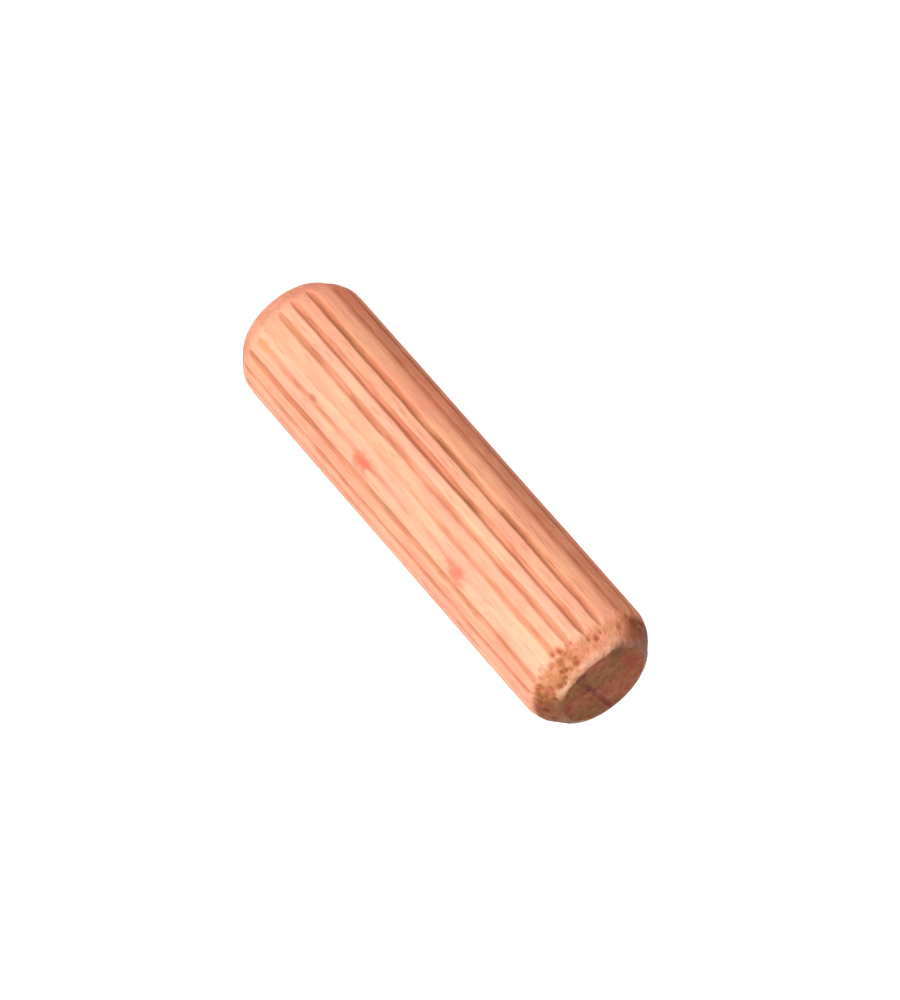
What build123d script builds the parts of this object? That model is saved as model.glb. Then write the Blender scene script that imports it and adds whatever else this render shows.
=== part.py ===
from build123d import *
import os

# A fluted wooden dowel pin, standing on one of its flat sawn ends.
# The origin is the middle of that end, and +Z runs up the pin's axis. Millimetres.

# the pin
pin_length = 30.0
pin_diameter = 8.0

# the tapered nose at each end, as sharp corners before they are rounded
nose_length = 1.4
tip_diameter = 5.9
shoulder_radius = 1.8
rim_radius = 0.6

# straight flutes pressed along the whole pin
flute_count = 25
flute_width = 0.48
flute_depth = 0.25
flute_root_radius = 0.06

pin_radius = pin_diameter / 2
tip_radius = tip_diameter / 2

# each flute's V runs on past the surface, so that the cut leaves no skin on the lands
cut_clearance = 0.15
flank_slope = (flute_width / 2) / flute_depth
cut_height = flute_depth + cut_clearance
cut_half_width = flank_slope * cut_height

with BuildPart() as dowel_pin:
    # half of the pin's section, turned about the axis
    with BuildSketch(Plane.XZ) as blank_profile:
        with BuildLine():
            Polyline(
                (0, 0),
                (tip_radius, 0),
                (pin_radius, nose_length),
                (pin_radius, pin_length - nose_length),
                (tip_radius, pin_length),
                (0, pin_length),
                close=True,
            )
        make_face()
        corners = blank_profile.vertices()
        fillet(corners.group_by(Axis.X)[-1], shoulder_radius)
        rim_corners = blank_profile.vertices().filter_by_position(
            Axis.X, tip_radius, tip_radius
        )
        fillet(rim_corners, rim_radius)
    revolve(axis=Axis.Z)

    # a V with a rounded root at each flute's place round the pin
    with BuildSketch(Plane.XY) as flute_profile:
        with PolarLocations(pin_radius - flute_depth, flute_count):
            Polygon(
                (0, 0),
                (cut_height, cut_half_width),
                (cut_height, -cut_half_width),
                align=None,
            )
        roots = flute_profile.vertices().sort_by_distance((0, 0, 0))[:flute_count]
        fillet(roots, flute_root_radius)
    extrude(amount=pin_length, mode=Mode.SUBTRACT)

dowel_pin.part.label = "dowel_pin"

os.makedirs("parts", exist_ok=True)
export_step(dowel_pin.part, "parts/dowel_pin.step")
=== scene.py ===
import math
import random

import bpy
from mathutils import Matrix, Vector, noise


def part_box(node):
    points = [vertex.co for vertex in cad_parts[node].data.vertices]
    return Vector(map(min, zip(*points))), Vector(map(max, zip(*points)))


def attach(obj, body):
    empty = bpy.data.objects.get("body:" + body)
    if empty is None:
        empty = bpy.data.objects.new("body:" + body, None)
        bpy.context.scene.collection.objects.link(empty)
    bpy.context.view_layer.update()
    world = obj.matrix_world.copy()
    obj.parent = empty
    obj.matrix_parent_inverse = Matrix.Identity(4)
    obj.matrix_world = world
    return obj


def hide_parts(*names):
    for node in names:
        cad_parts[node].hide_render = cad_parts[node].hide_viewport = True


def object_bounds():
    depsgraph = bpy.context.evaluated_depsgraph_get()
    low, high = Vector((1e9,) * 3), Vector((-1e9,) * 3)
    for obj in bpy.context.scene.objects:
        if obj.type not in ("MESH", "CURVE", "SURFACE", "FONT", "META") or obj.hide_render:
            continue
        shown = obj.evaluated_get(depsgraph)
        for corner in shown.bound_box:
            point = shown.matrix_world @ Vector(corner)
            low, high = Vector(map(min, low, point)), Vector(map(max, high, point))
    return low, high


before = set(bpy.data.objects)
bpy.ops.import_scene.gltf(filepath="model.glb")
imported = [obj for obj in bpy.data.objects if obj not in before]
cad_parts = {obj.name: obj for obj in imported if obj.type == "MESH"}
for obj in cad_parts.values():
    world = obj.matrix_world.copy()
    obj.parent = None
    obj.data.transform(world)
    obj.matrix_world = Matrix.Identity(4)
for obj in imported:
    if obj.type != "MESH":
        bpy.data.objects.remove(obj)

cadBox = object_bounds()
mm = 0.001

# the growth rings lie square to this direction, in degrees from +X, and the camera stands a
# quarter turn from it
grainTurn = 33.0

scene = bpy.context.scene
scene.view_settings.view_transform = "Standard"


def addNode(tree, kind, *values, **settings):
    # makes a node; each value in turn is set on, or linked to, the next input
    node = tree.nodes.new(kind)
    for name, value in settings.items():
        setattr(node, name, value)
    for socket, value in zip(node.inputs, values):
        if isinstance(value, bpy.types.NodeSocket):
            tree.links.new(value, socket)
        elif value is not None:
            socket.default_value = value
    return node


def calc(tree, what, *values):
    return addNode(tree, "ShaderNodeMath", *values, operation=what).outputs[0]


def blendColours(tree, amount, first, second, how="MIX"):
    node = tree.nodes.new("ShaderNodeMix")
    node.data_type = "RGBA"
    node.blend_type = how
    for name, value in (("Factor_Float", amount), ("A_Color", first), ("B_Color", second)):
        socket = next(s for s in node.inputs if s.identifier == name)
        if isinstance(value, bpy.types.NodeSocket):
            tree.links.new(value, socket)
        else:
            socket.default_value = value
    return next(s for s in node.outputs if s.identifier == "Result_Color")


def fade(tree, value, start, end, low=0.0, high=1.0):
    # value from start to end becomes low to high, eased at both ends and held beyond them
    node = addNode(
        tree, "ShaderNodeMapRange", value, start, end, low, high, interpolation_type="SMOOTHSTEP"
    )
    return node.outputs[0]


# sizes in millimetres, angles in degrees
pinLook = {
    "fluteCount": 25,
    "fluteWidth": 0.7,        # measured over the rounded crests
    "fluteDepth": 0.2,
    "crestRound": 0.03,
    "fluteSway": 0.03,        # how far a flute wanders to each side
    "flareReach": 2.4,        # near the ends the flutes are this much wider and deeper
    "flareWidth": 0.28,
    "flareDepth": 0.14,
    "noseLength": 1.4,
    "tipRadius": 2.95,
    "shoulderRadius": 1.8,
    "rimRadius": 0.6,
    "columns": 600,
    "rimRows": 6,
    "coneRows": 10,
    "shoulderRows": 10,
    "straightRows": 66,
    "faceRings": 9,
    "turnedWear": 0.03,       # how far the turned surface wanders in from true
    "noseWear": 0.06,         # torn grain on the noses
    "faceWear": 0.04,         # the sawn ends are not quite flat
    "cornerPlace": 39,        # the upper face looks squarer where it broke away on both sides
    "cornerWidth": 13,
    "cornerReach": 0.22,
    "depthChange": 0.22,      # flutes are this much deeper or shallower along their length
    "widthChange": 0.18,
    "pitCount": 66,           # small torn pits on the upper nose
    "pitDepth": 0.13,
    "pitRadius": (0.17, 0.34),
    "tornSide": -55,          # the pits crowd round this direction, in degrees from the grain's
    "tornSpread": 0.45,       # radians
    "seed": 4,
    # flutes that stray from their even places: degrees round the pin, share of the full depth,
    # and how much deeper they grow from the lower end to the upper
    "strayFlutes": {
        0: (1.6, 0.8, 0.0),
        1: (1.8, 0.7, 0.0),
        16: (0.0, 0.7, 0.0),
        17: (2.6, 0.35, 0.0),
        18: (0.4, 0.05, 0.0),
        19: (-2.2, 1.15, 0.0),
        20: (-0.2, 1.15, 0.0),
        21: (0.2, 0.85, 0.0),
        22: (0.5, 0.35, 0.9),
        23: (-1.0, 0.4, -0.7),
        24: (-0.3, 0.75, -0.2),
    },
}


def pinSize():
    low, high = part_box("dowel_pin")
    return (high.y - low.y) / 2 / mm, (high.z - low.z) / mm


def wander(x, y, z, seed):
    # smooth noise from -1 to 1
    return noise.noise(Vector((x + 17.3 * seed, y - 9.1 * seed, z + 5.7 * seed)))


def noseOutline(look, radius):
    # points (distance from the end face, radius) from the face's edge out to the straight wall
    slope = math.atan2(radius - look["tipRadius"], look["noseLength"])
    rim, shoulder = look["rimRadius"], look["shoulderRadius"]
    rimTurn = math.pi / 2 - slope
    flat = look["tipRadius"] - rim * math.tan(rimTurn / 2)
    points = []
    for i in range(look["rimRows"] + 1):
        turn = rimTurn * i / look["rimRows"]
        points.append((rim - rim * math.cos(turn), flat + rim * math.sin(turn)))
    wallStart = look["noseLength"] + shoulder * math.tan(slope / 2)
    arc = []
    for i in range(look["shoulderRows"] + 1):
        turn = slope * (1 - i / look["shoulderRows"])
        inward = shoulder * (1 - math.cos(turn))
        arc.append((wallStart - shoulder * math.sin(turn), radius - inward))
    (x0, r0), (x1, r1) = points[-1], arc[0]
    for i in range(1, look["coneRows"]):
        t = i / look["coneRows"]
        points.append((x0 + (x1 - x0) * t, r0 + (r1 - r0) * t))
    return points + arc


def flutePlaces(look):
    # each flute's angle, depth and growth
    draw = random.Random(look["seed"])
    pitch = 360 / look["fluteCount"]
    flutes = []
    for k in range(look["fluteCount"]):
        even = (draw.uniform(-1.0, 1.0), draw.uniform(0.8, 1.1), draw.uniform(-0.2, 0.2))
        drift, share, growth = look["strayFlutes"].get(k, even)
        flutes.append((math.radians(k * pitch + drift), look["fluteDepth"] * share, growth))
    return flutes


def pitPlaces(look, radius, length):
    # torn pits (point, radius, depth) on the upper nose, thickest on the side the grain tore on
    draw = random.Random(look["seed"] + 1)
    tornSide = math.radians(grainTurn + look["tornSide"])
    outline = noseOutline(look, radius)
    pits = []
    for i in range(look["pitCount"]):
        angle = draw.gauss(tornSide, look["tornSpread"]) if i % 3 else draw.uniform(0, 2 * math.pi)
        x, r = outline[draw.randrange(look["rimRows"] + 1, len(outline) - 4)]
        size = draw.uniform(*look["pitRadius"])
        point = Vector((r * math.cos(angle), r * math.sin(angle), length - x))
        pits.append((point, size, look["pitDepth"] * draw.uniform(0.5, 1.0)))
    return pits


def softMin(a, b, width):
    # the lower of two heights, with the corner between them rounded
    h = max(width - abs(a - b), 0) / width
    return min(a, b) - h * h * width / 4


def fluteFloor(look, flutes, angle, z, radius, length):
    # radius of the flutes' floor at this place; on a land that is the pin's own radius
    flare = max(0.0, 1 - min(z, length - z) / look["flareReach"])
    floor = radius
    for k, (middle, depth, growth) in enumerate(flutes):
        off = (angle - middle + math.pi) % (2 * math.pi) - math.pi
        if abs(off) * radius > look["fluteWidth"] * 1.15:
            continue                        # no flute is as wide as this
        depth *= 1 + growth * (2 * z / length - 1)
        depth *= 1 + look["depthChange"] * wander(k * 3.1, 0, z * 0.35, 2) + look["flareDepth"] * flare
        width = look["fluteWidth"]
        width *= 1 + look["widthChange"] * wander(k * 2.3, 4, z * 0.9, 3) + look["flareWidth"] * flare
        across = off * radius + look["fluteSway"] * wander(k * 1.7, 8, z * 0.5, 4)
        share = min(1.0, abs(across) / (width / 2))
        floor = min(floor, radius - depth * (0.5 + 0.5 * math.cos(math.pi * share)))
    return floor


def makePin():
    look = pinLook
    radius, length = pinSize()
    flutes = flutePlaces(look)
    pits = pitPlaces(look, radius, length)
    outline = noseOutline(look, radius)
    columns = look["columns"]
    frontSide = math.radians(grainTurn - 90)
    corner, cornerWidth = math.radians(look["cornerPlace"]), math.radians(look["cornerWidth"])
    angles = [2 * math.pi * j / columns for j in range(columns)]

    # each row is (height, radius, whether it is on a sawn face, which end: 0 side, -1 low, 1 high)
    rows = []
    flat = outline[0][1]
    for i in range(1, look["faceRings"] + 1):
        rows.append((0.0, flat * i / look["faceRings"], True, -1))
    for x, r in outline[1:]:
        rows.append((x, r, False, -1))
    startWall = outline[-1][0]
    for i in range(1, look["straightRows"]):
        z = startWall + (length - 2 * startWall) * i / look["straightRows"]
        rows.append((z, radius, False, 0))
    for x, r in reversed(outline[1:]):
        rows.append((length - x, r, False, 1))
    for i in range(look["faceRings"], 0, -1):
        rows.append((length, flat * i / look["faceRings"], True, 1))

    points, fluteShare, endShare, pitShare = [Vector((0, 0, 0))], [0.0], [1.0], [0.0]
    for z, r, isFace, end in rows:
        fromEnd = min(z, length - z)
        for angle in angles:
            c, s = math.cos(angle), math.sin(angle)
            if isFace:
                # a sawn face: shallow waves across it and a little dishing, always inward
                wave = 0.5 + 0.5 * wander(r * c * 0.8, r * s * 0.8, 0, 6 + end)
                fine = 0.5 + 0.5 * wander(r * c * 5, r * s * 2, 0, 8 + end)
                edge = 1 - (r / flat) ** 6
                inward = look["faceWear"] * (0.7 * wave + 0.3 * fine) * edge * 0.8
                points.append(Vector((r * c, r * s, inward if end < 0 else length - inward)))
                fluteShare.append(0.0)
                endShare.append(1.0)
                pitShare.append(0.0)
                continue
            worn = look["turnedWear"] * (0.5 + 0.5 * wander(c * 2.2, s * 2.2, z * 0.25, 1))
            onNose = max(0.0, 1 - fromEnd / (startWall + 0.2))
            tornHere = 0.5 + 0.5 * wander(r * c * 1.9, r * s * 1.9, z * 1.1, 5)
            tornFine = 0.5 + 0.5 * wander(r * c * 5.5, r * s * 5.5, z * 2.4, 9)
            worn += look["noseWear"] * min(1.0, 2.5 * onNose) * (0.55 * tornHere + 0.45 * tornFine)
            floor = fluteFloor(look, flutes, angle, z, radius, length)
            here = softMin(r - worn, floor - 0.4 * worn, look["crestRound"])
            point = Vector((here * c, here * s, z))
            torn = 0.0
            if end > 0:
                for pit, size, depth in pits:
                    gap = (point - pit).length
                    if gap < size:
                        bowl = (1 - (gap / size) ** 2) ** 2
                        torn = max(torn, bowl * depth / look["pitDepth"])
                        here -= depth * bowl
                point = Vector((here * c, here * s, z))
            points.append(point)
            fluteShare.append(max(0.0, min(1.0, (r - floor) / look["fluteDepth"])))
            share = (radius - r) / (radius - flat)
            if end > 0:
                off = abs((angle - frontSide + math.pi) % (2 * math.pi) - math.pi) - corner
                share += look["cornerReach"] * math.exp(-((off / cornerWidth) ** 2)) * min(1.0, share)
            endShare.append(0.8 * share if share < 1 else 1.0)
            pitShare.append(torn)
    points.append(Vector((0, 0, length)))
    fluteShare.append(0.0)
    endShare.append(1.0)
    pitShare.append(0.0)

    faces = []
    last = len(points) - 1
    for j in range(columns):
        k = (j + 1) % columns
        faces.append((0, 1 + k, 1 + j))
        for i in range(len(rows) - 1):
            low, high = 1 + i * columns, 1 + (i + 1) * columns
            faces.append((low + j, low + k, high + k, high + j))
        top = 1 + (len(rows) - 1) * columns
        faces.append((top + j, top + k, last))

    mesh = bpy.data.meshes.new("dowel_pin_wood")
    mesh.from_pydata([p * mm for p in points], [], faces)
    for name, values in (("flute", fluteShare), ("endGrain", endShare), ("pit", pitShare)):
        mesh.attributes.new(name, "FLOAT", "POINT").data.foreach_set("value", values)
    mesh.shade_smooth()
    pin = bpy.data.objects.new("dowel_pin_wood", mesh)
    scene.collection.objects.link(pin)
    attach(pin, "root")
    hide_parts("dowel_pin")
    print("pin:", len(mesh.polygons), "faces")
    return pin


woodLook = {
    "pink": (0.88, 0.385, 0.262, 1),
    "straw": (0.88, 0.44, 0.283, 1),
    # the flute tint is partly the pressed wood's darker colour and partly painted shade in the grooves
    "fluteTintAndShade": (0.69, 0.57, 0.46, 1),
    "yearAndSideShadeTint": (1.0, 0.89, 0.80, 1),        # a redder year along one side, and its darker edge; both lie on the side away from the key lamp and are partly painted shade
    "sideShadeTint": (0.80, 0.67, 0.60, 1),
    # the nose tint is partly darker end grain and partly painted shade at the upper end
    "noseGrainAndShadeTint": (0.65, 0.50, 0.33, 1),
    "awayShadeTint": (0.38, 0.31, 0.26, 1),       # round the back the upper nose is painted darker still, as painted shade
    # the paler rim is partly pale fibre fuzz and partly a painted highlight
    "rimFuzzAndHighlight": (0.79, 0.55, 0.41, 1),
    # the face tints are partly darker end grain and partly painted shade on the upper face
    "faceGrainAndShadeTint": (0.60, 0.37, 0.31, 1),
    "faceOliveGrainAndShade": (0.46, 0.36, 0.24, 1),
    "pitTint": (0.50, 0.30, 0.18, 1),
    "ringTint": (0.92, 0.82, 0.76, 1),
    "fleckTint": (0.84, 0.66, 0.56, 1),
    "poreTint": (0.74, 0.58, 0.50, 1),
    "crackColour": (0.20, 0.042, 0.03, 1),
    "ringWidth": 2.05,
    "pithDistance": 66.0,
    "shakePlace": 0.935,                     # the fine dark line that crosses the upper face
    "shakeSlant": 0.086,
    "roughness": (0.5, 0.78),
    "bumpHeight": 0.03,
    "bumpStrength": 0.9,
    "specular": 0.15,
    # blemishes: place (across the rings, towards the back, height), half sizes, colour, strength
    "blemishes": [
        ((1.97, -3.48, 11.7), (0.48, 0.5, 0.82), (0.87, 0.15, 0.085, 1), 0.88),
        ((2.11, -3.40, 20.7), (0.56, 0.5, 1.00), (0.82, 0.16, 0.105, 1), 0.82),
        ((1.78, -3.55, 2.2), (0.32, 0.5, 0.6), (0.93, 0.32, 0.13, 1), 0.55),
        ((1.68, -3.63, 6.8), (0.20, 0.4, 0.42), (0.45, 0.15, 0.11, 1), 0.75),
        ((-2.04, -3.26, 4.9), (0.16, 0.4, 1.0), (0.40, 0.15, 0.07, 1), 0.55),
        ((-2.04, -3.26, 14.1), (0.18, 0.4, 1.2), (0.40, 0.14, 0.07, 1), 0.65),
        ((-2.04, -3.26, 20.5), (0.18, 0.4, 1.5), (0.38, 0.13, 0.06, 1), 0.7),
        ((-1.01, -3.72, 18.2), (0.20, 0.4, 0.9), (0.36, 0.12, 0.06, 1), 0.7),
        ((2.58, -2.86, 14.0), (0.13, 0.4, 1.5), (0.42, 0.26, 0.13, 1), 0.55),
        ((-1.95, 0.0, 30.0), (0.6, 1.3, 0.5), (0.36, 0.06, 0.04, 1), 0.75),
        ((-1.75, -1.9, 30.0), (0.7, 0.7, 0.5), (0.17, 0.07, 0.035, 1), 0.7),
        ((2.38, -0.64, 30.0), (0.35, 0.5, 0.4), (0.30, 0.06, 0.035, 1), 0.85),
        ((0.75, -0.9, 30.0), (0.22, 0.45, 0.4), (0.18, 0.04, 0.03, 1), 0.8),
        ((0.5, 1.9, 30.0), (0.22, 0.5, 0.4), (0.22, 0.04, 0.03, 1), 0.7),
        ((0.6, -2.4, 30.0), (0.35, 0.35, 0.4), (0.20, 0.05, 0.035, 1), 0.75),
    ],
}


def makeWood(name="rawBeech"):
    look = woodLook
    material = bpy.data.materials.new(name)
    material.use_nodes = True
    tree = material.node_tree
    tree.nodes.clear()

    # coordinates in millimetres, turned so that X crosses the growth rings
    coords = addNode(tree, "ShaderNodeTexCoord").outputs["Object"]
    grain = addNode(
        tree,
        "ShaderNodeMapping",
        coords,
        (0, 0, 0),
        (0, 0, math.radians(-grainTurn)),
        (1 / mm, 1 / mm, 1 / mm),
    ).outputs[0]
    across, back, height = addNode(tree, "ShaderNodeSeparateXYZ", grain).outputs

    def stretched(x, y, z):
        return addNode(tree, "ShaderNodeVectorMath", grain, (x, y, z), operation="MULTIPLY").outputs[0]

    def mottle(x, y, z, detail=2.0):
        node = addNode(tree, "ShaderNodeTexNoise", stretched(x, y, z))
        node.inputs["Scale"].default_value = 1.0
        node.inputs["Detail"].default_value = detail
        return node.outputs[0]

    def cells(x, y, z):
        node = addNode(tree, "ShaderNodeTexVoronoi", stretched(x, y, z))
        node.inputs["Scale"].default_value = 1.0
        return node.outputs["Distance"]

    def tinted(amount, under, tint):
        return blendColours(tree, amount, under, blendColours(tree, 1.0, under, tint, "MULTIPLY"))

    def times(*factors):
        total = factors[0]
        for factor in factors[1:]:
            total = calc(tree, "MULTIPLY", total, factor)
        return total

    flute = addNode(tree, "ShaderNodeAttribute", attribute_name="flute").outputs["Fac"]
    endGrain = addNode(tree, "ShaderNodeAttribute", attribute_name="endGrain").outputs["Fac"]
    pit = addNode(tree, "ShaderNodeAttribute", attribute_name="pit").outputs["Fac"]

    # broad pink and straw patches that run along the grain
    patches = mottle(0.75, 0.75, 0.22)
    colour = blendColours(tree, fade(tree, patches, 0.38, 0.62), look["pink"], look["straw"])

    # fine lines of the grain, and finer fibres
    lines = mottle(5.0, 5.0, 0.3, 3.0)
    fibre = mottle(16.0, 16.0, 0.6, 2.0)
    shade = times(fade(tree, lines, 0.3, 0.62, 0.89, 1.03), fade(tree, fibre, 0.3, 0.7, 0.95, 1.02))
    colour = blendColours(tree, 1.0, colour, shade, "MULTIPLY")

    # growth rings: a slow darkening that ends sharply at each year's edge
    pith = (look["pithDistance"], 0, 0)
    bent = addNode(
        tree, "ShaderNodeVectorMath", stretched(1, 1, 0.02), pith, operation="ADD"
    ).outputs[0]
    reach = addNode(tree, "ShaderNodeVectorMath", bent, operation="LENGTH").outputs["Value"]
    years = calc(tree, "DIVIDE", reach, look["ringWidth"])
    years = calc(tree, "ADD", years, times(mottle(0.9, 0.9, 0.06), 0.35))
    year = calc(tree, "FRACT", years)
    lateWood = times(fade(tree, year, 0.35, 0.9), fade(tree, year, 0.94, 1.0, 1.0, 0.0), 0.7)
    colour = tinted(lateWood, colour, look["ringTint"])
    # painted shade: on the side away from the key lamp the wood is painted redder from 1 mm out, given
    # as a redder growth year, and darker in mottled patches past 2.9 mm
    colour = tinted(fade(tree, across, -1.0, -2.6), colour, look["yearAndSideShadeTint"])
    side = times(fade(tree, across, -2.9, -3.3), fade(tree, mottle(1.3, 1.3, 0.8), 0.3, 0.65, 0.6, 1.1))
    colour = tinted(side, colour, look["sideShadeTint"])

    # flecks: short spindles along the grain
    fleck = fade(tree, cells(2.6, 3.6, 0.45), 0.1, 0.2, 1.0, 0.0)
    colour = tinted(times(fleck, 0.5), colour, look["fleckTint"])

    # pores: short dark lines along the grain, dots on the ends
    pore = fade(tree, cells(6.5, 6.5, 0.5), 0.14, 0.3, 1.0, 0.0)
    colour = tinted(times(pore, 0.45), colour, look["poreTint"])

    # the flutes are pressed, darker and redder, and more so in places; the darkening is partly the
    # pressed wood's colour and partly painted shade in the grooves
    uneven = fade(tree, mottle(0.6, 0.6, 0.33), 0.3, 0.7, 0.6, 1.25)
    pressedAndShaded = times(fade(tree, flute, 0.02, 0.7), uneven, fade(tree, lines, 0.3, 0.6, 1.1, 0.85))
    colour = tinted(pressedAndShaded, colour, look["fluteTintAndShade"])

    # the upper nose is torn and stained, most on the side the grain tore on, and darker, partly as end
    # grain and partly as painted shade, most at the upper end; its rim is paler, partly as fibre fuzz
    # and partly as a painted highlight
    upper = fade(tree, height, 4.0, 26.0, 0.25, 1.0)
    onNose = times(fade(tree, endGrain, 0.03, 0.16), upper)
    tornSide = fade(tree, across, -2.5, 2.6, 0.5, 1.1)
    blotch = fade(tree, mottle(1.6, 1.6, 1.6, 3.0), 0.35, 0.6, 0.6, 1.15)
    colour = tinted(times(onNose, tornSide, blotch), colour, look["noseGrainAndShadeTint"])
    # paler rim on the upper end: pale fibre fuzz and a painted highlight
    onRim = times(fade(tree, endGrain, 0.42, 0.6), upper)
    worn = fade(tree, mottle(2.2, 2.2, 2.2, 3.0), 0.35, 0.6)
    colour = blendColours(tree, times(onRim, worn, 0.4), colour, look["rimFuzzAndHighlight"])
    colour = tinted(pit, colour, look["pitTint"])
    face = fade(tree, endGrain, 0.84, 0.94)
    # painted shade: the upper nose is darker round the back, away from the camera and the key lamp, but
    # not on the sawn face
    away = times(fade(tree, back, -2.4, -1.4), onNose, calc(tree, "SUBTRACT", 1.0, face))
    shadeMottle = fade(tree, mottle(0.7, 0.7, 0.7), 0.3, 0.6, 0.7, 1.0)
    colour = tinted(times(away, shadeMottle), colour, look["awayShadeTint"])

    # the sawn face is darker still, red-brown to olive, partly as end grain and partly as painted shade
    # on the upper face, with a fine dark shake across it
    onFace = times(face, upper)
    olive = fade(tree, mottle(0.5, 0.5, 0.5), 0.4, 0.62)
    colour = tinted(onFace, colour, blendColours(tree, olive, look["faceGrainAndShadeTint"], look["faceOliveGrainAndShade"]))
    shake = calc(tree, "ADD", across, times(back, look["shakeSlant"]))
    shake = calc(tree, "ADD", shake, times(mottle(0.0, 1.3, 0.0, 3.0), 0.5))
    shake = calc(tree, "ABSOLUTE", calc(tree, "SUBTRACT", shake, look["shakePlace"]))
    shake = times(fade(tree, shake, 0.04, 0.19, 1.0, 0.0), face, upper)
    shown = times(shake, fade(tree, mottle(0.9, 0.9, 0.0), 0.35, 0.6, 0.35, 0.85))
    colour = blendColours(tree, shown, colour, look["crackColour"])

    # blemishes
    for spot, halfSizes, stain, strength in look["blemishes"]:
        off = addNode(tree, "ShaderNodeVectorMath", grain, spot, operation="SUBTRACT").outputs[0]
        off = addNode(tree, "ShaderNodeVectorMath", off, halfSizes, operation="DIVIDE").outputs[0]
        ragged = addNode(tree, "ShaderNodeVectorMath", off, operation="LENGTH").outputs["Value"]
        ragged = calc(tree, "ADD", ragged, times(mottle(3.0, 3.0, 2.0, 3.0), 1.5))
        colour = blendColours(tree, fade(tree, ragged, 1.1, 2.0, strength, 0.0), colour, stain)

    rough = fade(tree, lines, 0.3, 0.7, *look["roughness"])
    rough = calc(tree, "MAXIMUM", rough, times(endGrain, 0.95))
    crumbs = mottle(7.0, 7.0, 4.0, 3.0)
    relief = calc(tree, "ADD", times(lines, 0.6), times(fibre, 0.5))
    relief = calc(tree, "SUBTRACT", relief, times(pore, 0.5))
    relief = calc(tree, "ADD", relief, times(crumbs, endGrain, 2.0))
    relief = calc(tree, "SUBTRACT", relief, times(shake, 2.0))
    bump = addNode(tree, "ShaderNodeBump")
    bump.inputs["Distance"].default_value = look["bumpHeight"] * mm
    bump.inputs["Strength"].default_value = look["bumpStrength"]
    tree.links.new(relief, bump.inputs["Height"])

    shader = tree.nodes.new("ShaderNodeBsdfPrincipled")
    tree.links.new(colour, shader.inputs["Base Color"])
    tree.links.new(rough, shader.inputs["Roughness"])
    tree.links.new(bump.outputs[0], shader.inputs["Normal"])
    shader.inputs["Specular IOR Level"].default_value = look["specular"]
    output = tree.nodes.new("ShaderNodeOutputMaterial")
    tree.links.new(shader.outputs[0], output.inputs["Surface"])
    return material


stageLook = {
    "floorHalf": 1.5,
    "floorColour": (0.8, 0.8, 0.8, 1),
    "seenColour": (0.55, 0.55, 0.55, 1),
    "seenGlow": 0.78,
    "skyStrength": 0.36,
}

# turn is degrees from the camera round the pin, towards the camera's left; rise is above the floor
lamps = {
    "key": {"turn": 27, "rise": 16, "away": 0.5, "size": 0.28, "watts": 2.68},
    "fill": {"turn": -58, "rise": 16, "away": 0.5, "size": 0.25, "watts": 0.56},
    "back": {"turn": 180, "rise": 8, "away": 0.5, "size": 0.14, "watts": 1.1},
}

cameraLook = {
    "lens": 305.0,
    "rise": 28.2,       # degrees above the floor
    "roll": 138.74,     # the pin's upper end points to the lower right
    "away": 0.4646,
    "aimRight": 0.386,  # mm
    "aimUp": 0.026,
}


def seenWhite(tree):
    # 1 for rays that should meet a plain white background
    path = addNode(tree, "ShaderNodeLightPath").outputs
    glossOrGlass = calc(tree, "MAXIMUM", path["Is Glossy Ray"], path["Is Transmission Ray"])
    return calc(tree, "MAXIMUM", path["Is Camera Ray"], glossOrGlass)


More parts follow.
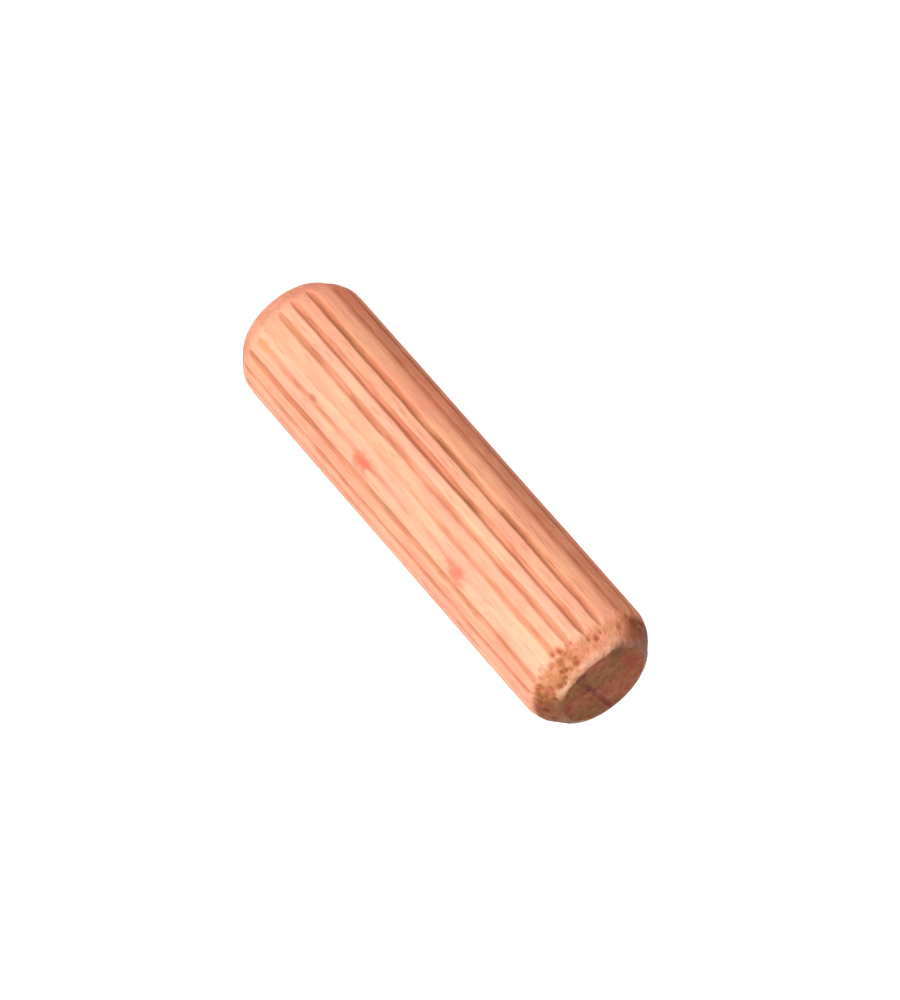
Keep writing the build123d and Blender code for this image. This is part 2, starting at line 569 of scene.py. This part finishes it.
def makeFloor():
    low, high = cadBox
    half = stageLook["floorHalf"]
    mesh = bpy.data.meshes.new("floor")
    corners = [(-half, -half, low.z), (half, -half, low.z), (half, half, low.z), (-half, half, low.z)]
    mesh.from_pydata(corners, [], [(0, 1, 2, 3)])
    floor = bpy.data.objects.new("floor", mesh)
    scene.collection.objects.link(floor)
    material = bpy.data.materials.new("paleFloor")
    material.use_nodes = True
    tree = material.node_tree
    tree.nodes.clear()
    plain = addNode(tree, "ShaderNodeBsdfDiffuse", stageLook["floorColour"]).outputs[0]
    shaded = addNode(tree, "ShaderNodeBsdfDiffuse", stageLook["seenColour"]).outputs[0]
    glow = addNode(tree, "ShaderNodeEmission", (1, 1, 1, 1), stageLook["seenGlow"]).outputs[0]
    seen = addNode(tree, "ShaderNodeAddShader", shaded, glow).outputs[0]
    mixed = addNode(tree, "ShaderNodeMixShader", seenWhite(tree), plain, seen).outputs[0]
    addNode(tree, "ShaderNodeOutputMaterial", mixed)
    mesh.materials.append(material)


def makeWorld():
    world = bpy.data.worlds.new("studio")
    scene.world = world
    world.use_nodes = True
    tree = world.node_tree
    tree.nodes.clear()
    sky = addNode(tree, "ShaderNodeBackground", (1, 1, 1, 1), stageLook["skyStrength"]).outputs[0]
    white = addNode(tree, "ShaderNodeBackground", (1, 1, 1, 1), 1.0).outputs[0]
    mixed = addNode(tree, "ShaderNodeMixShader", seenWhite(tree), sky, white).outputs[0]
    addNode(tree, "ShaderNodeOutputWorld", mixed)


def towards(turn, rise):
    # unit vector from the pin, turned from the camera's side of it and raised
    a = math.radians(grainTurn + turn - 90)
    e = math.radians(rise)
    return Vector((math.cos(a) * math.cos(e), math.sin(a) * math.cos(e), math.sin(e)))


def makeLamps():
    low, high = cadBox
    centre = (low + high) / 2
    for name, look in lamps.items():
        light = bpy.data.lights.new(name, "AREA")
        light.size = look["size"]
        light.energy = look["watts"]
        lamp = bpy.data.objects.new(name, light)
        way = towards(look["turn"], look["rise"])
        lamp.location = centre + way * look["away"]
        lamp.rotation_euler = way.to_track_quat("Z", "Y").to_euler()
        scene.collection.objects.link(lamp)


def makeCamera():
    look = cameraLook
    low, high = cadBox
    back = towards(0, look["rise"])
    level = back.cross(Vector((0, 0, 1))).normalized() * -1
    upright = back.cross(level)
    roll = math.radians(look["roll"])
    right = level * math.cos(roll) + upright * math.sin(roll)
    up = upright * math.cos(roll) - level * math.sin(roll)
    aim = (low + high) / 2 + (right * look["aimRight"] + up * look["aimUp"]) * mm
    data = bpy.data.cameras.new("camera")
    data.lens = look["lens"]
    data.clip_start, data.clip_end = 0.01, 10
    camera = bpy.data.objects.new("camera", data)
    place = Matrix((right, up, back)).transposed().to_4x4()
    place.translation = aim + back * look["away"]
    camera.matrix_world = place
    scene.collection.objects.link(camera)
    scene.camera = camera


makeCamera()
makeWorld()
makeFloor()
makeLamps()
print("stage ready")

pin = makePin()
pin.data.materials.append(makeWood())
print("wood ready")
